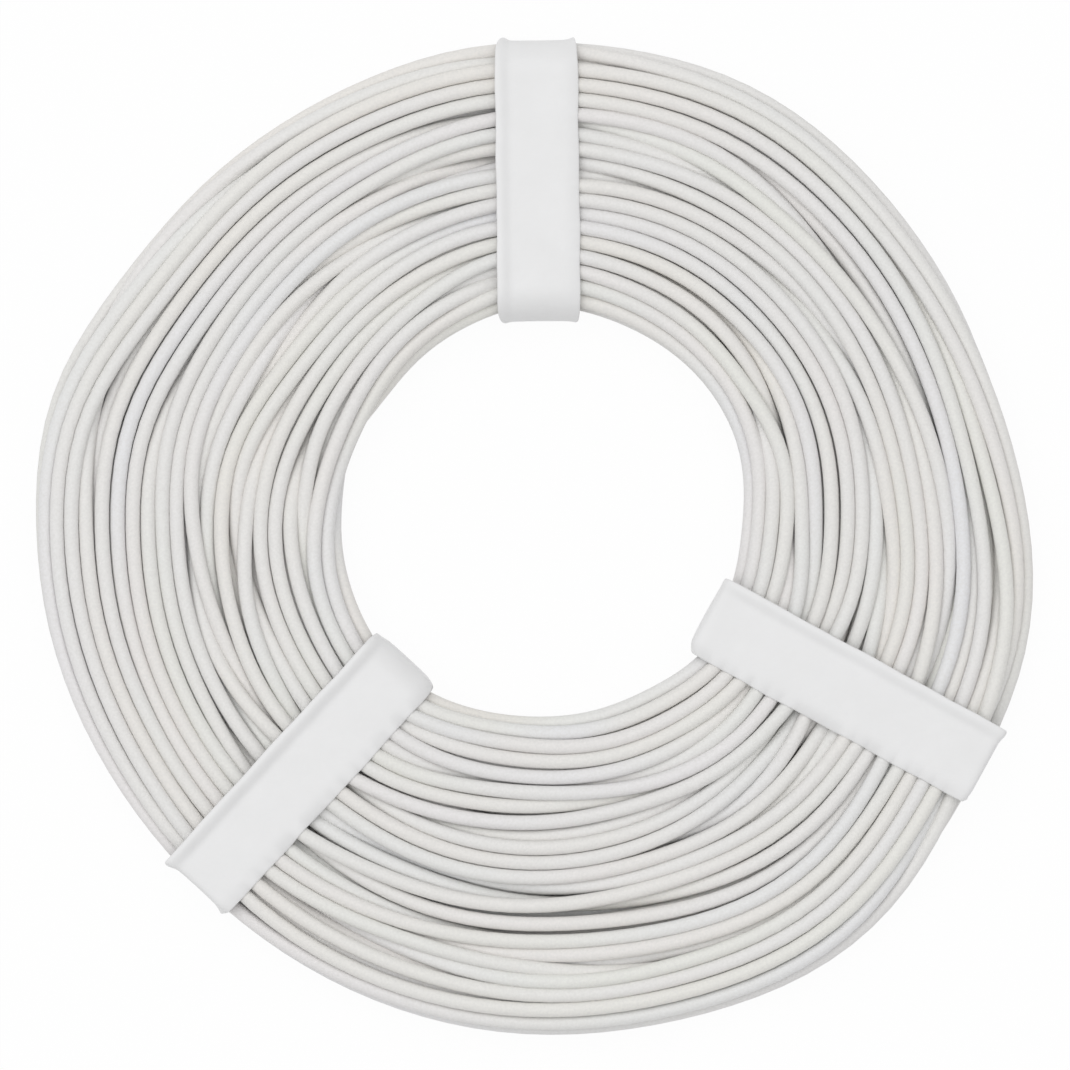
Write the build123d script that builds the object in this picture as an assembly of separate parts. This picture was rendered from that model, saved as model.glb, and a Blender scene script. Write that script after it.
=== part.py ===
from build123d import *
import os
from math import sqrt

# Ring coil of thin insulated hookup wire, bound flat by three film bands.
# Millimetres, +Z up. The coil's axis is the Z axis, and z = 0 is the surface that the bands lie on.

# Wire and coil
wire_diameter = 1.0
coil_outside_diameter = 68.5
coil_hole_diameter = 27.7
coil_height = 3.6
groove_depth = 0.2

# Bands
band_width = 5.7
film_thickness = 0.12
lip_width = 0.8
lip_flare = 0.2
lap_length = 9.0
lap_ramp = 0.6
seat_clearance = 0.05
top_band_angle = 90.0
left_band_angle = 226.0
right_band_angle = 333.8

# Places that several pieces share
outer_radius = coil_outside_diameter / 2
hole_radius = coil_hole_diameter / 2
coil_bottom = 2 * film_thickness + seat_clearance
coil_middle = coil_bottom + coil_height / 2


def coil_section():
    """Outline of the bundle beside the axis: a ridge for each turn on its top and sides, flat underneath."""
    wire_radius = wire_diameter / 2
    half_flat = (outer_radius - hole_radius - coil_height) / 2
    half_rise = coil_height / 2 - wire_radius
    outer_side = ThreePointArc((half_flat, -half_rise), (half_flat + half_rise, 0), (half_flat, half_rise))
    inner_side = ThreePointArc((-half_flat, half_rise), (-half_flat - half_rise, 0), (-half_flat, -half_rise))
    skin = Wire([outer_side, Line(outer_side @ 1, inner_side @ 0), inner_side])
    turns = round(skin.length / wire_diameter)

    def on_skin(turn, reach):
        along = skin.length * turn / turns
        outward = skin.tangent_at(along, PositionMode.LENGTH).rotate(Axis.Z, -90)
        return skin.position_at(along, PositionMode.LENGTH) + outward * reach

    outline = [on_skin(0, wire_radius)]
    for turn in range(turns):
        outline.append(on_skin(turn + 0.5, wire_radius - groove_depth))
        outline.append(on_skin(turn + 1, wire_radius))
    return make_face(Polyline(outline, close=True))


def wire_coil():
    """All the turns as one ring."""
    section_middle = (outer_radius + hole_radius) / 2
    section = Plane.XZ * Pos(section_middle, coil_middle) * coil_section()
    return revolve(section, Axis.Z)


def film_section(flat_half_width):
    """Section across the film: flat in the middle, with both edges flaring away from the wire."""
    half_width = band_width / 2
    half = make_face(Polyline(
        (0, 0),
        (flat_half_width, 0),
        (half_width, lip_flare),
        (half_width, lip_flare + film_thickness),
        (flat_half_width, film_thickness),
        (0, film_thickness),
        close=True,
    ))
    return half + mirror(half, Plane.YZ)


def binding_band():
    """Film loop round the bundle on the +X side, lapped and pressed flat where it lies underneath."""
    flat_half_width = band_width / 2 - lip_width
    outer_end = outer_radius + seat_clearance
    inner_end = sqrt(hole_radius**2 - flat_half_width**2) - seat_clearance
    middle = (outer_end + inner_end) / 2
    loop_height = coil_height + 2 * seat_clearance
    loop = Plane.XZ * Pos(middle, coil_middle) * SlotOverall(outer_end - inner_end, loop_height)
    path = loop.wire()
    across = Plane(path @ 0, x_dir=(0, 1, 0), z_dir=path % 0)
    film = sweep(across * film_section(flat_half_width), path)
    lap = Plane.XZ * Pos(middle, 0) * make_face(Polyline(
        (-lap_length / 2, film_thickness),
        (-lap_length / 2, 0),
        (lap_length / 2 - lap_ramp, 0),
        (lap_length / 2, film_thickness),
        close=True,
    ))
    band = film + extrude(lap, flat_half_width, both=True)
    return split(band, Plane.XY, keep=Keep.TOP)


os.makedirs("parts", exist_ok=True)
export_step(wire_coil(), "parts/wire_coil.step")
export_step(Rot(0, 0, top_band_angle) * binding_band(), "parts/binding_band_top.step")
export_step(Rot(0, 0, left_band_angle) * binding_band(), "parts/binding_band_left.step")
export_step(Rot(0, 0, right_band_angle) * binding_band(), "parts/binding_band_right.step")
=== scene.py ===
# %% [markdown]
# # A bound coil of hookup wire
# The object is one long, thin, white-insulated wire, wound into a flat ring and held by three bands of
# white film. This lesson loads the measured solids as a fixed frame, winds the wire as one curve, wraps the
# bands over it, and gives each its finish. Everything is in metres, with +Z up and the ring lying flat.

# %% Load the frame
import bpy
import bmesh
import math
import numpy as np
from mathutils import Matrix, Vector, noise


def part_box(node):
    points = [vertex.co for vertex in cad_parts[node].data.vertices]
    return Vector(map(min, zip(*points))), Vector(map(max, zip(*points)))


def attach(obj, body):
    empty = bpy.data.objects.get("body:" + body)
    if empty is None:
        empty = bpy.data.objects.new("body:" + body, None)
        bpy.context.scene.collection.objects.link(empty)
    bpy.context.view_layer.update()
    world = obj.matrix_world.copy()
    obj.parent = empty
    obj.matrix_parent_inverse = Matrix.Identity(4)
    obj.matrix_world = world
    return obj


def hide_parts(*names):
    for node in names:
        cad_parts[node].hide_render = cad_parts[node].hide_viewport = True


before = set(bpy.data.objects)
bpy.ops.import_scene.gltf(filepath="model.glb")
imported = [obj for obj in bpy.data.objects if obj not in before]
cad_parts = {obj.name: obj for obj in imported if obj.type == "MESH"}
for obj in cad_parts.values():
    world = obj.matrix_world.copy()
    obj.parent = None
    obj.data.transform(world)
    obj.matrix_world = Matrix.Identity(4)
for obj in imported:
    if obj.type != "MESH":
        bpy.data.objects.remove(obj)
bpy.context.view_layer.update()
mm = 0.001

# %% [markdown]
# ## The camera
# The picture looks straight down on the ring. An orthographic camera could do that, but a real lens shows a
# little of the sides, so this is a long lens from far above. The scale comes from the wire: one millimetre
# is fourteen and a half picture points, and that gives the width of the frame and so the lens.

# %% Place the camera
picture_points = 1070
points_per_mm = 14.5
ring_centre_in_picture = (536.0, 537.0)
camera_height = 0.70
_, coil_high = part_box("wire_coil")

frame_width = picture_points / points_per_mm * mm
camera_data = bpy.data.cameras.new("overhead")
camera_data.sensor_width = 36.0
camera_data.lens = camera_data.sensor_width * camera_height / frame_width
camera = bpy.data.objects.new("overhead", camera_data)
bpy.context.scene.collection.objects.link(camera)
camera.location = (
    (picture_points / 2 - ring_centre_in_picture[0]) / points_per_mm * mm,
    (ring_centre_in_picture[1] - picture_points / 2) / points_per_mm * mm,
    coil_high.z + camera_height,
)
bpy.context.scene.camera = camera
print("lens", round(camera_data.lens), "mm, frame", round(frame_width / mm, 1), "mm wide")

# %% [markdown]
# ## The edges of the ring
# A hand-wound coil is never a true circle. Between the bands its outer edge swells and draws in again, and
# its hole sits a little to one side. The edges could be drawn as curves by hand. Here each is a circle with a
# few gentle swellings, because three numbers for a swelling are easy to read and to change: its bearing in
# degrees, its height in millimetres and its spread in degrees. The winding is worked out in millimetres.

# %% Outer and inner edge
outer_circle = 33.53
outer_swellings = [
    (65, 1.0, 18),
    (94, 0.66, 16),
    (164, 1.2, 14),
    (187, 0.85, 20),
    (276, 0.92, 30),
    (309, 1.9, 20),
    (347, 1.22, 18),
]
hole_circle = 13.89
hole_shift = (0.38, 1.52)
hole_swellings = [
    (2, -0.25, 12),
    (35, 0.31, 30),
    (88, 0.3, 16),
    (145, -0.62, 24),
    (232, 0.5, 24),
    (320, 0.2, 12),
]


def swell(bearing, swellings):
    """Sum of the swellings at each bearing, which is in radians."""
    total = np.zeros_like(bearing)
    for centre, height, spread in swellings:
        away = (np.degrees(bearing) - centre + 180.0) % 360.0 - 180.0
        total += height * np.exp(-((away / spread) ** 2))
    return total


def outer_edge(bearing):
    return outer_circle + swell(bearing, outer_swellings)


def inner_edge(bearing):
    shift = hole_shift[0] * np.cos(bearing) + hole_shift[1] * np.sin(bearing)
    return hole_circle + shift + swell(bearing, hole_swellings)


all_round = np.radians(np.arange(360.0))
for name, edge in (("outer edge", outer_edge(all_round)), ("hole", inner_edge(all_round))):
    print(name, round(edge.min(), 1), "to", round(edge.max(), 1), "mm from the axis")

# %% [markdown]
# ## A place for every turn
# The wire was wound on a narrow spool: three or four turns up, then a layer further out three or four turns
# down, each layer nesting in the one before. A simple spiral would show the same wires all the way round.
# With places in layers, the wires on top change from one side of the ring to the other, as they really do.

# %% Places in the bundle
wire_diameter = 1.03
turns_in_layer = [3, 4] * 9 + [3]
turns = sum(turns_in_layer)


def places():
    """Share of the way out and height above the middle for each turn's place, in winding order."""
    found = []
    for layer, count in enumerate(turns_in_layer):
        heights = (np.arange(count) - (count - 1) / 2) * wire_diameter
        if layer % 2:
            heights = heights[::-1]
        found += [(layer / (len(turns_in_layer) - 1), height) for height in heights]
    return np.array(found + found[-1:])


print(turns, "turns in", len(turns_in_layer), "layers")

# %% [markdown]
# ## The plan of the winding
# Each turn is followed at stations round the ring, and at a station a wire is just a disc in a slice through
# the bundle, with a distance from the axis and a height. Somewhere on its way round, a turn slides over to
# the next turn's place. Where that happens differs from turn to turn, which is why wires dive under their
# neighbours all round the ring. Slow waves along the wire add the looseness of a coil wound by hand.

# %% Plan the turns
stations = 60
first_bearing = math.radians(226.0)
wander = 0.7
edge_wander = 0.3
middle_wander = 2.8
wave_count = 80
waves_per_turn = (0.25, 1.6)
slide_span = (0.25, 0.6)
start_height = 2 * wire_diameter
chance = np.random.default_rng(7)

# The wire starts and ends at the first bearing, where a band will hide its ends.
bearing = first_bearing + 2 * math.pi * np.arange(stations) / stations
edge_in, edge_out = inner_edge(bearing), outer_edge(bearing)
room = edge_out - edge_in


def ease(x):
    """Go smoothly from 0 to 1 as x does."""
    x = np.clip(x, 0, 1)
    return x**3 * (x * (6 * x - 15) + 10)


def slow_waves():
    """Gentle wandering along the whole wire, as a sum of waves from under a turn to four turns long."""
    along = np.arange(turns * stations) / stations
    waves = np.zeros_like(along)
    for _ in range(wave_count):
        strength = chance.normal()
        pace = chance.uniform(*waves_per_turn)
        waves += strength * np.sin(2 * math.pi * (along * pace + chance.uniform()))
    return (waves / waves.std()).reshape(turns, stations)


def planned_turns():
    """Distance from the axis and height of every turn at every station, before anything settles."""
    place = places()
    way_round = (np.arange(stations) + 0.5) / stations
    slide = np.empty((turns, stations))
    for turn in range(turns):
        span = chance.uniform(*slide_span)
        middle = chance.uniform(span / 2, 1 - span / 2)
        slide[turn] = ease((way_round - middle) / span + 0.5)
    out, up = (place[:-1, None, i] + (place[1:, i] - place[:-1, i])[:, None] * slide for i in (0, 1))
    loose = wander * (edge_wander + middle_wander * out * (1 - out))
    lay = edge_in + wire_diameter / 2 + out * (room - wire_diameter)
    reach = lay + loose * slow_waves()
    height = start_height + up + loose * slow_waves()
    return lay, reach, height


lay, reach, height = planned_turns()
print("planned", turns, "turns at", stations, "stations")

# %% [markdown]
# ## What moves a turn
# The plan puts some turns inside each other. A rigid-body simulation could sort that out, but a wire is one
# long thing, so some hundreds of small steps of our own are simpler and quicker. Discs that overlap push each
# other apart, and the wire's stiffness irons out kinks. The stiffness works on how far a turn has left its
# planned lay, so the ring keeps its own outline and isn't pulled towards a true circle.

# %% Pushing and stiffness
push_share = 0.4
stiffness_share = 0.5
pull_share = 0.05
touching = 1e-6


def part_neighbours(reach, height, near):
    """Push apart the turns that are nearer to each other than near."""
    apart_r = reach[:, None] - reach[None]
    apart_z = height[:, None] - height[None]
    apart = np.sqrt(apart_r**2 + apart_z**2) + touching
    push = push_share * np.clip(near - apart, 0, None) / apart
    itself = np.arange(turns)
    push[itself, itself] = 0
    return reach + (push * apart_r).sum(axis=1), height + (push * apart_z).sum(axis=1)


def straighten(line):
    """Move each point of the wire towards the smooth curve through its four neighbours."""
    target = (4 * (line[1:-3] + line[3:-1]) - line[:-4] - line[4:]) / 6
    line[2:-2] += stiffness_share * (target - line[2:-2])


def stiffen(lay, reach, height):
    """Iron out kinks along the whole wire. Each line is a view, so the array behind it changes too."""
    slack = reach - lay
    for line in (slack.reshape(-1), height.reshape(-1)):
        straighten(line)
        straighten(line)
        line[1:-1] += pull_share * ((line[:-2] + line[2:]) / 2 - line[1:-1])
    return lay + slack, height


crowded = np.hypot(np.diff(reach, axis=0), np.diff(height, axis=0)) < wire_diameter
print(round(100 * crowded.mean()), "% of a turn and the next overlap as planned")

# %% [markdown]
# ## What holds the bundle
# The edges of the ring and the table hold the turns together, and the film keeps the top down. The bundle has
# round sides, so its height follows from the room between the edges and the area of all the wires. A gentle
# draw from the middle to the skin fills the top evenly, as winding under tension does.

# %% Holding the bundle together
packing_share = 0.79
spread_up = 0.004
spread_up_reach = 0.4 * wire_diameter
spread_out = 0.008
spread_out_reach = 3.0
loose_top = 0.25
top_share = 0.2
side_share = 0.8
side_lift_share = 0.15

# A flat bundle with round sides has an area of room * level - round_share * level**2.
wire_area = turns * math.pi * wire_diameter**2 / 4 / packing_share
round_share = 1 - math.pi / 4
level = (room - np.sqrt(room**2 - 4 * round_share * wire_area)) / (2 * round_share)


def spread(reach, height, strength):
    """Draw turns from the middle of the bundle towards its skin."""
    height = height + spread_up * strength * np.tanh((height - level / 2) / spread_up_reach)
    reach = reach + spread_out * strength * np.tanh((reach - (edge_in + edge_out) / 2) / spread_out_reach)
    return reach, height


def hold(reach, height):
    """Keep turns on the table, under the top and within the round sides."""
    height = height + np.clip(wire_diameter / 2 - height, 0, None)
    height = height - top_share * np.clip(height + wire_diameter / 2 - level - loose_top, 0, None)
    for side, middle in ((1, edge_out - level / 2), (-1, edge_in + level / 2)):
        past_r = np.clip(side * (reach - middle), 0, None)
        past_z = height - level / 2
        past = np.sqrt(past_r**2 + past_z**2) + touching
        over = np.where(past_r > 0, np.clip(past - level / 2 + wire_diameter / 2, 0, None), 0) / past
        reach = reach - side_share * side * over * past_r
        height = height - side_lift_share * over * past_z
    return reach, height


print("bundle", round(level.min(), 2), "to", round(level.max(), 2), "mm high")

# %% [markdown]
# ## Letting the turns settle
# Now the steps run. Most turns lie close, and here and there a stretch of wire keeps some elbow room, which
# leaves the few deep, dark gaps that a real coil has among many faint ones. A band squeezes that room out, so
# the turns lie neatly side by side next to it. Seeded chance makes every run give the same coil.

# %% Settle the bundle
steps = 900
elbow_room = 0.35
elbow_start = 0.8
band_bearings = np.radians([90.0, 226.0, 333.8])
squeeze_reach = math.radians(32)


def elbow_share():
    """How much of its elbow room a wire keeps at each station: none under a band, all of it far from one."""
    from_bands = np.abs((bearing[:, None] - band_bearings + math.pi) % (2 * math.pi) - math.pi)
    return ease(from_bands.min(axis=1) / squeeze_reach)


loose_spots = np.clip(slow_waves() - elbow_start, 0, None) * elbow_share()
keep = wire_diameter * (1 + elbow_room * loose_spots)
near = (keep[:, None] + keep[None]) / 2
for step in range(steps):
    reach, height = part_neighbours(reach, height, near)
    reach, height = stiffen(lay, reach, height)
    reach, height = spread(reach, height, 1 - step / steps)
    reach, height = hold(reach, height)
print("settled", turns, "turns, top at", round(height.max() + wire_diameter / 2, 2), "mm")

# %% [markdown]
# ## The wire as one curve
# On the spool the wire is a single unbroken length. Sixty-six separate rings would look much the same, but
# they would be no wire, so all the turns are one NURBS curve with a round bevel. Such a curve runs a little
# inside its control points on a circle, so the points stand out by that much. The ring lies on the lapped
# ends of the bands, so it is lifted by two thicknesses of film.

# %% Draw the wire
film_thickness = 0.12
under_wire_gap = 0.02
wire_lift = 2 * film_thickness + under_wire_gap


def wire_points():
    """Control points of the whole wire in metres, from the inner end to the outer one."""
    # Beside a point, the curve takes three quarters of that point and an eighth of each neighbour.
    bulge = 1 / (0.75 + 0.25 * math.cos(2 * math.pi / stations))
    angle = np.append(np.tile(bearing, turns), bearing[0])
    r = np.append(reach, reach[-1, -1]) * bulge
    z = np.append(height, height[-1, -1]) + wire_lift
    return np.column_stack([r * np.cos(angle), r * np.sin(angle), z]) * mm


def draw_wire(points):
    """One curve along the points, which hold the wire's radius, so the bevel's own depth is 1."""
    data = bpy.data.curves.new("hookup_wire", "CURVE")
    data.dimensions = "3D"
    data.resolution_u = 2
    data.bevel_depth = 1.0
    data.bevel_resolution = 4
    data.use_fill_caps = True
    spline = data.splines.new("NURBS")
    spline.points.add(len(points) - 1)
    spline.points.foreach_set("co", np.column_stack([points, np.ones(len(points))]).ravel())
    spline.points.foreach_set("radius", np.full(len(points), wire_diameter / 2 * mm))
    spline.order_u = 3
    spline.use_endpoint_u = True
    wire = bpy.data.objects.new("hookup_wire", data)
    bpy.context.scene.collection.objects.link(wire)
    return wire


points = wire_points()
wire = draw_wire(points)
print("wire drawn through", len(points), "points")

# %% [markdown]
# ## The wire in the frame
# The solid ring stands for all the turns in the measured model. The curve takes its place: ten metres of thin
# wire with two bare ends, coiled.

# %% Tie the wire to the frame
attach(wire, "root")
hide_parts("wire_coil")

# %% [markdown]
# ## Shader maths in plain Python
# Node trees are easier to read as sums. A small class wraps a socket and turns the usual operators into
# Math nodes, and one method makes any other node.


# %% Shader helpers
class Value:
    """A number socket that can be added, subtracted and multiplied."""

    def __init__(self, finish, socket):
        self.finish = finish
        self.socket = socket

    def __add__(self, other):
        return self.finish.maths("ADD", self, other)

    def __sub__(self, other):
        return self.finish.maths("SUBTRACT", self, other)

    def __rsub__(self, other):
        return self.finish.maths("SUBTRACT", other, self)

    def __mul__(self, other):
        return self.finish.maths("MULTIPLY", self, other)

    __radd__ = __add__
    __rmul__ = __mul__


class Finish:
    """A material with a Principled shader, and the means to build its nodes."""

    def __init__(self, name):
        self.material = bpy.data.materials.new(name)
        self.material.use_nodes = True
        self.tree = self.material.node_tree
        self.shader = self.tree.nodes["Principled BSDF"]

    def node(self, kind, settings=None, **sockets):
        """Make a node, set its settings first, then give its sockets values or links."""
        made = self.tree.nodes.new(kind)
        for name, setting in (settings or {}).items():
            setattr(made, name, setting)
        for name, value in sockets.items():
            self.feed(made.inputs[name.replace("_", " ")], value)
        return made

    def feed(self, socket, value):
        if isinstance(value, Value):
            value = value.socket
        if isinstance(value, bpy.types.NodeSocket):
            self.tree.links.new(value, socket)
        else:
            socket.default_value = value

    def maths(self, operation, first, second):
        made = self.node("ShaderNodeMath", {"operation": operation})
        self.feed(made.inputs[0], first)
        self.feed(made.inputs[1], second)
        return Value(self, made.outputs[0])

    def blend(self, share, first, second):
        """Mix two colours, whose sockets come after the ones for numbers and vectors."""
        made = self.node("ShaderNodeMix", {"data_type": "RGBA"})
        self.feed(made.inputs["Factor"], share)
        self.feed(made.inputs[6], first)
        self.feed(made.inputs[7], second)
        return made.outputs[2]

    def set(self, **sockets):
        """Give sockets of the Principled shader their values or links."""
        for name, value in sockets.items():
            self.feed(self.shader.inputs[name.replace("_", " ")], value)

    def report(self):
        print(self.material.name, "has", len(self.tree.nodes), "nodes")


print("sockets can be added, subtracted and multiplied")

# %% [markdown]
# ## The insulation
# Soft white PVC: nearly matt, slightly warm, with faint changes of tint along the wire from the making of it,
# and a very fine grain. A flat white would do from far away, but close by the turns would melt into each
# other. The tint follows the curve's own UV map, whose first coordinate runs along the whole wire, so a
# change of tint stays with its turn. The grain is in Object coordinates, which need no map.

# %% Wire finish
cream = (0.838, 0.812, 0.765, 1)
rosy_white = (0.835, 0.812, 0.815, 1)
straw_white = (0.818, 0.822, 0.775, 1)
bluish_white = (0.812, 0.816, 0.838, 1)
grain_colour = (0.70, 0.692, 0.675, 1)
tint_spread = 2.7
grain_scale = 5500.0
grain_share = 0.31
grain_contrast = 1.1
grain_bump = 0.1
grain_depth = 0.06 * mm


def insulation():
    finish = Finish("white_insulation")
    where = finish.node("ShaderNodeTexCoord")
    along = finish.node("ShaderNodeSeparateXYZ", Vector=where.outputs["UV"])
    length = Value(finish, along.outputs["X"])

    def tint_change(changes, start):
        """Slow noise with so many changes along the wire, as a number from about 0 to 1."""
        kind = {"noise_dimensions": "1D"}
        wave = finish.node("ShaderNodeTexNoise", kind, W=length * changes + start, Scale=1.0, Detail=2.0)
        return 0.5 + tint_spread * (Value(finish, wave.outputs[0]) - 0.5)

    speck = finish.node("ShaderNodeTexNoise", Vector=where.outputs["Object"], Scale=grain_scale, Detail=2.0)
    grain = Value(finish, speck.outputs[0])
    speckle = grain_share + grain_contrast * (grain - 0.5)
    warm = finish.blend(tint_change(changes=160.0, start=3.0), cream, rosy_white)
    cool = finish.blend(tint_change(changes=220.0, start=11.0), straw_white, bluish_white)
    tint = finish.blend(tint_change(changes=300.0, start=29.0), warm, cool)
    bump = finish.node("ShaderNodeBump", Strength=grain_bump, Distance=grain_depth, Height=grain)
    finish.set(
        Base_Color=finish.blend(speckle, tint, grain_colour),
        Roughness=0.5 + 0.12 * grain,
        IOR=1.45,
        Normal=bump.outputs["Normal"],
    )
    finish.report()
    return finish.material


wire.data.materials.append(insulation())

# %% [markdown]
# ## The binding bands
# Each band is one strip of film a little under six millimetres wide. It starts under the ring, goes round its
# outside, over the top, down through the hole and under again, where the two ends are lapped and welded. A
# stretched slot with a hole in it would be quicker, but it would have no lap. Here a row of points across the
# strip is carried along that path: extruded on the straight runs and spun at the two bends. That gives an
# even grid, which takes thickness and smoothing well.

# %% Path of a band
lap_length = 9.0
welded_gap = 0.01


class Loop:
    """Sizes of one band's path, with x along the band from its end in the hole, and z up."""

    def __init__(self, length, top):
        self.top = top
        self.middle = length / 2
        self.low = 2 * film_thickness + welded_gap
        self.lapped_low = film_thickness
        self.outer_radius = (top - self.low) / 2
        self.inner_radius = (top - self.lapped_low) / 2
        self.outer = Vector((length - film_thickness - self.outer_radius, 0, top - self.outer_radius))
        self.inner = Vector((film_thickness + self.inner_radius, 0, top - self.inner_radius))

    def outward(self, place):
        """Direction out of the loop at a point of the strip."""
        if place.x > self.outer.x:
            away = place - self.outer
        elif place.x < self.inner.x:
            away = place - self.inner
        else:
            away = Vector((0, 0, place.z - self.outer.z))
        away.y = 0
        return away.normalized()


print("the ends of a band lap by", lap_length, "mm")

# %% [markdown]
# ## Carrying the strip round
# The film was fed round the bundle from one end to the other, and the strip is made in that order too. A flat
# sheet could be bent by a modifier. Extruding and spinning put each row just where the path needs it: a few
# underneath, where the film is straight, and many over the wires, where an edge has to drape.

# %% Carry a strip round the bundle
strip_cuts = 15
under_steps = 8
bend_steps = 36
over_steps = 110


def run(strip, row, by, steps):
    """Extrude the row of edges in even steps and return its last row."""
    for _ in range(steps):
        made = bmesh.ops.extrude_edge_only(strip, edges=row)["geom"]
        moved = [item for item in made if isinstance(item, bmesh.types.BMVert)]
        bmesh.ops.translate(strip, verts=moved, vec=Vector((by / steps, 0, 0)))
        row = [item for item in made if isinstance(item, bmesh.types.BMEdge)]
    return row


def bend(strip, row, centre):
    """Spin the row half way round and return its last row."""
    corners = list({corner for edge in row for corner in edge.verts})
    made = bmesh.ops.spin(
        strip,
        geom=corners + row,
        cent=centre,
        axis=(0, 1, 0),
        angle=-math.pi,
        steps=bend_steps,
    )
    return [item for item in made["geom_last"] if isinstance(item, bmesh.types.BMEdge)]


def lapped_strip(loop, width):
    strip = bmesh.new()
    start = loop.middle - lap_length / 2
    corners = [strip.verts.new((start, side * width / 2, loop.low)) for side in (-1, 1)]
    bmesh.ops.subdivide_edges(strip, edges=[strip.edges.new(corners)], cuts=strip_cuts)
    row = run(strip, strip.edges[:], loop.outer.x - start, under_steps)
    row = bend(strip, row, loop.outer)
    row = run(strip, row, loop.inner.x - loop.outer.x, over_steps)
    row = bend(strip, row, loop.inner)
    run(strip, row, loop.middle + lap_length / 2 - loop.inner.x, under_steps)
    return strip


print("a strip has", strip_cuts + 2, "points across and", 2 * (under_steps + bend_steps) + over_steps, "rows")

# %% [markdown]
# ## Edges of the film
# The film is a little too wide for the bends, so one long edge of each band turns up into a soft lip, and the
# other curls down and drapes over the wires, sinking a little between them. At the ends the corners stick
# out as small horns or are rounded off, and some bends are pulled square over the outermost wire. Cloth
# simulation could crumple the film, but film this short only has a few plain curves. So each point of the
# grid gets a short push, and the grid itself stays as it is.

# %% Curves of an edge
lip_width = 1.1
slope_reach = 0.85 * lip_width
rim_reach = 0.2 * lip_width
rim_share = 0.23
bridge = 0.8


def square_bend(point, centre, radius, power):
    """Push the upper half of a round bend out to a squarer one: a power of 2 leaves it round."""
    across, up = (point.co.x - centre.x) / radius, (point.co.z - centre.z) / radius
    if up < 0:
        return
    reach = (abs(across) ** power + up**power) ** (1 / power)
    point.co.x = centre.x + across / reach * radius
    point.co.z = centre.z + up / reach * radius


def edge_curve(from_edge, turned_up):
    """Share of an edge's rise, near the edge: an S up to a rim, or a curl that steepens outwards."""
    if turned_up:
        rim = rim_share * float(ease(1 - from_edge / rim_reach))
        return float(ease((lip_width - from_edge) / slope_reach)) - rim
    return max(0.0, 1 - from_edge / lip_width) ** 2


def drop_onto(wires, x, top):
    """How far the film at x can sink before it lies on a wire, as it bridges the gaps between wires."""
    along, middle = wires
    near = np.abs(along - x) < bridge
    crest = middle[near] + wire_diameter / 2 - bridge + np.sqrt(bridge**2 - (along[near] - x) ** 2)
    return max(0.0, top - crest.max(initial=0.0))


half_way = edge_curve(lip_width / 2, True)
print("a lip is", lip_width, "mm wide and has", round(half_way, 2), "of its rise half way")

# %% [markdown]
# ## Pushing the points
# Film that is pulled tight and welded has smooth, slightly wavy edges. A displacement texture could push them
# about, but it knows nothing of left and right edges or of the two ends. So one function visits the points.
# It crowds them towards the edges, where the curves are tight, and adds the lip, the horns and the tucks.

# %% Shape the film
edge_crowding = 0.6
waver = 0.07
waver_length = 2.5
between_edges = 5.0
between_bands = 7.0


def square_bends(point, loop, powers):
    if point.co.x > loop.outer.x:
        square_bend(point, loop.outer, loop.outer_radius, powers[1])
    elif point.co.x < loop.inner.x:
        square_bend(point, loop.inner, loop.inner_radius, powers[0])


def straying(along, side, width):
    """Noise along an edge, which differs from edge to edge and from band to band."""
    return noise.noise(Vector((along / waver_length, side * between_edges, width * between_bands)))


def shape_film(strip, loop, width, wires, lips, horns, cups, tucks, powers):
    """Give the film its edges. Pairs are for the left and right edge, or for the hole's and the outer end."""
    for point in strip.verts:
        out = loop.outward(point.co)
        end = int(point.co.x > loop.middle)
        side = int(point.co.y < 0)
        along = point.co.x
        square_bends(point, loop, powers)
        share = min(1.0, abs(point.co.y) / (width / 2)) ** edge_crowding
        lip = max(lips[side], -drop_onto(wires[side], along, loop.top))
        end_share = 1 - abs(out.z)
        rise = horns[end][side] * end_share + lip * max(0.0, out.z)
        # High powers of share keep a push close to the edge.
        tuck = tucks[end][side] * end_share**2 * share**6
        tuck += waver * share**4 * straying(along, side, width)
        curve = edge_curve((1 - share) * width / 2, lips[side] > 0)
        point.co.y = math.copysign(share * width / 2 - tuck, point.co.y)
        point.co += out * (curve * rise + cups[end] * share**2 * end_share)


print("edges waver by up to", waver, "mm")

# %% [markdown]
# ## Where the bands sit
# The place of each band is given by the middles of its two ends, in millimetres from the ring's axis. The top
# of the film is the highest wire beneath it, and its draped edge follows the wires that cross below it.

# %% Find the wires under a band
film_gap = 0.08
beside_band = 0.5


def place_of(ends):
    """Matrix that puts a band's own x axis on the line between its ends."""
    start, stop = (Vector((*end, 0)) for end in ends)
    along = (stop - start).normalized()
    across = Vector((0, 0, 1)).cross(along)
    turn = Matrix((along, across, Vector((0, 0, 1)))).transposed().to_4x4()
    return Matrix.Translation(start) @ turn, (stop - start).length


def wire_seen_from(place):
    """The wire's points in a band's own axes, in millimetres."""
    return (np.array(place.inverted()) @ np.column_stack([points / mm, np.ones(len(points))]).T)[:3]


def highest_wire(local, length, width):
    """Top of the highest wire under a band or just beside it."""
    beneath = (np.abs(local[1]) < width / 2 + beside_band) & (local[0] > 0) & (local[0] < length)
    return local[2][beneath].max() + wire_diameter / 2


def wires_across(local, y):
    """Where wires cross the line at y along a band: how far along, and the height of their middles."""
    before, after = local[:, :-1], local[:, 1:]
    crosses = (before[1] - y) * (after[1] - y) <= 0
    before, after = before[:, crosses], after[:, crosses]
    found = before + (y - before[1]) / (after[1] - before[1]) * (after - before)
    return found[0], found[2]


print("the film clears the highest wire by", film_gap, "mm")

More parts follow.
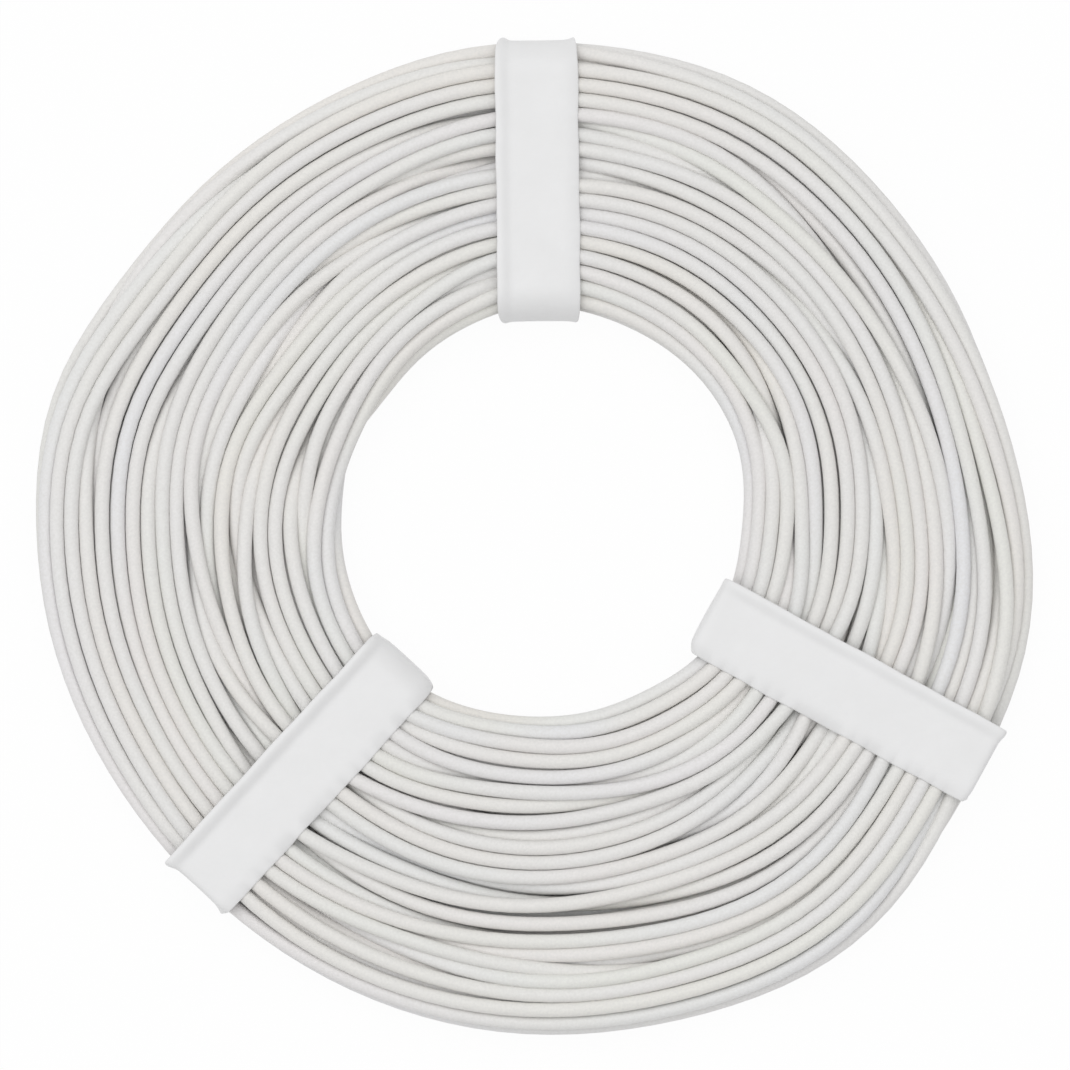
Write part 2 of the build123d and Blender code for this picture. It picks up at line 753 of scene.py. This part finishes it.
# %% [markdown]
# ## Three bands
# The bands are cut from the same film, but each was pulled a little differently. Three copies would look
# copied, so each has its own few sizes, in millimetres. A positive lip is an edge that turns up, and a
# negative one is the furthest that an edge may drape. Horns, cups and tucks shape the two ends. The powers,
# which are plain numbers, say how square the two bends are. Solidify then gives the sheet its thickness, and
# subdivision smooths it.

# %% Make the bands
bands = {
    "binding_band_top": {
        "ends": ((0.22, 14.91), (0.0, 34.31)),
        "width": 5.72,
        "lips": (0.23, -0.24),
        "horns": ((0.09, 0.09), (0.24, 0.22)),
        "cups": (0.05, 0.05),
        "tucks": ((0.5, 0.25), (0.7, 0.2)),
        "powers": (2.0, 2.0),
    },
    "binding_band_left": {
        "ends": ((-8.87, -8.32), (-23.38, -24.15)),
        "width": 5.64,
        "lips": (-0.44, 0.44),
        "horns": ((-0.18, -0.18), (0.07, 0.11)),
        "cups": (-0.1, 0.3),
        "tucks": ((0.35, 0.35), (0.3, 0.25)),
        "powers": (2.0, 30.0),
    },
    "binding_band_right": {
        "ends": ((11.69, -5.29), (31.02, -15.86)),
        "width": 5.76,
        "lips": (0.32, -0.5),
        "horns": ((-0.31, -0.4), (0.04, 0.04)),
        "cups": (-0.12, 0.0),
        "tucks": ((0.5, 0.6), (0.25, 0.25)),
        "powers": (9.0, 30.0),
    },
}


def film_shape(ends, width, **edges):
    """The film of one band as a smooth open sheet that faces outwards."""
    place, length = place_of(ends)
    local = wire_seen_from(place)
    loop = Loop(length, highest_wire(local, length, width) + film_gap)
    strip = lapped_strip(loop, width)
    wires = [wires_across(local, side * width / 2) for side in (1, -1)]
    shape_film(strip, loop, width, wires, **edges)
    bmesh.ops.recalc_face_normals(strip, faces=strip.faces)
    highest = max(strip.faces, key=lambda face: face.calc_center_median().z)
    if highest.normal.z < 0:
        bmesh.ops.reverse_faces(strip, faces=strip.faces)
    bmesh.ops.transform(strip, matrix=Matrix.Scale(mm, 4) @ place, verts=strip.verts)
    for face in strip.faces:
        face.smooth = True
    print("loop", round(length, 2), "mm long, top at", round(loop.top, 2), "mm")
    return strip


def make_band(name, sizes):
    """One band as an object that takes its solid's place."""
    strip = film_shape(**sizes)
    mesh = bpy.data.meshes.new("film_" + name)
    strip.to_mesh(mesh)
    strip.free()
    band = bpy.data.objects.new("film_" + name, mesh)
    bpy.context.scene.collection.objects.link(band)
    wall = band.modifiers.new("film thickness", "SOLIDIFY")
    wall.thickness = film_thickness * mm
    wall.offset = 1.0
    round_off = band.modifiers.new("smooth film", "SUBSURF")
    round_off.levels = 1
    round_off.render_levels = 1
    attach(band, "root")
    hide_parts(name)
    print(name, "has", len(mesh.polygons), "faces before it gets its thickness")
    return band


film_bands = [make_band(name, sizes) for name, sizes in bands.items()]

# %% [markdown]
# ## The film's finish
# Smooth white film, a touch cooler and brighter than the wire, with a satin gloss. It is thin and was pulled
# tight, so it is faintly cloudy and rumpled. An even white would do, but it would look like a solid block.
# One noise gives the colour and gloss and a finer one the bump. Both are in Object coordinates, so the three
# bands differ from each other.

# %% Film finish
dim_film = (0.78, 0.78, 0.782, 1)
bright_film = (0.836, 0.836, 0.841, 1)
cloud_scale = 420.0
rumple_scale = 1200.0
rumple_bump = 0.3
rumple_depth = 0.1 * mm


def film():
    finish = Finish("white_film")
    where = finish.node("ShaderNodeTexCoord").outputs["Object"]
    cloud = finish.node("ShaderNodeTexNoise", Vector=where, Scale=cloud_scale, Detail=3.0)
    mottle = Value(finish, cloud.outputs[0])
    rumple = finish.node("ShaderNodeTexNoise", Vector=where, Scale=rumple_scale, Detail=2.0)
    height = rumple.outputs[0]
    bump = finish.node("ShaderNodeBump", Strength=rumple_bump, Distance=rumple_depth, Height=height)
    finish.set(
        Base_Color=finish.blend(mottle, dim_film, bright_film),
        Roughness=0.4 + 0.1 * mottle,
        Normal=bump.outputs["Normal"],
    )
    finish.report()
    return finish.material


film_finish = film()
for band in film_bands:
    band.data.materials.append(film_finish)

# %% [markdown]
# ## The floor
# The coil lies on a plain white sweep. A white that is lit like the coil would come out grey, so the floor
# mostly glows white to the camera and in reflections, and keeps enough of its own surface for a faint shadow.
# It lies a hair below the bands, so that the two don't flicker where they touch.

# %% Floor
floor_half_size = 1.5
floor_drop = 0.02 * mm
glow_share = 0.95

floor_mesh = bpy.data.meshes.new("floor")
sweep = bmesh.new()
bmesh.ops.create_grid(sweep, x_segments=1, y_segments=1, size=floor_half_size)
bmesh.ops.translate(sweep, verts=sweep.verts, vec=Vector((0, 0, -floor_drop)))
sweep.to_mesh(floor_mesh)
sweep.free()
floor = bpy.data.objects.new("floor", floor_mesh)
bpy.context.scene.collection.objects.link(floor)


def white_sweep():
    """White that glows where the camera sees it, straight or in a reflection, and is lit elsewhere."""
    finish = Finish("white_sweep")
    finish.set(Base_Color=(0.9, 0.9, 0.9, 1), Roughness=0.8)
    light = finish.node("ShaderNodeLightPath")
    seen = finish.maths("MAXIMUM", light.outputs["Is Camera Ray"], light.outputs["Is Glossy Ray"])
    seen = finish.maths("MAXIMUM", seen, light.outputs["Is Transmission Ray"])
    glow = finish.node("ShaderNodeEmission", Color=(1, 1, 1, 1), Strength=1.0)
    mix = finish.node("ShaderNodeMixShader")
    finish.feed(mix.inputs[0], glow_share * seen)
    finish.feed(mix.inputs[1], finish.shader.outputs[0])
    finish.feed(mix.inputs[2], glow.outputs[0])
    finish.feed(finish.tree.nodes["Material Output"].inputs["Surface"], mix.outputs[0])
    finish.report()
    return finish.material


floor_mesh.materials.append(white_sweep())

# %% [markdown]
# ## The light
# A catalogue picture of a white thing needs very even light, or its shape is lost in glare. An even white
# world gives most of it, and one large soft box above the far left edge gives every wire a brighter side. A
# small lamp would draw a hard bright line along each wire. The levels are set so that a colour renders about
# as it is written.

# %% Light
world_level = 0.62
key_place = (-0.18, 0.21, 0.9)
key_size = 1.2
key_power = 4.9

world = bpy.data.worlds.new("studio")
bpy.context.scene.world = world
world.use_nodes = True
sky = world.node_tree.nodes["Background"]
sky.inputs["Color"].default_value = (1, 1, 1, 1)
sky.inputs["Strength"].default_value = world_level


def soft_box(name, place, size, power):
    """A square lamp that faces the ring."""
    data = bpy.data.lights.new(name, "AREA")
    data.size = size
    data.energy = power
    lamp = bpy.data.objects.new(name, data)
    lamp.location = place
    lamp.rotation_euler = (-Vector(place)).to_track_quat("-Z", "Y").to_euler()
    bpy.context.scene.collection.objects.link(lamp)


soft_box("key", key_place, key_size, key_power)
bpy.context.scene.view_settings.view_transform = "Standard"
print("world at", world_level, "and a soft box of", key_power, "W")
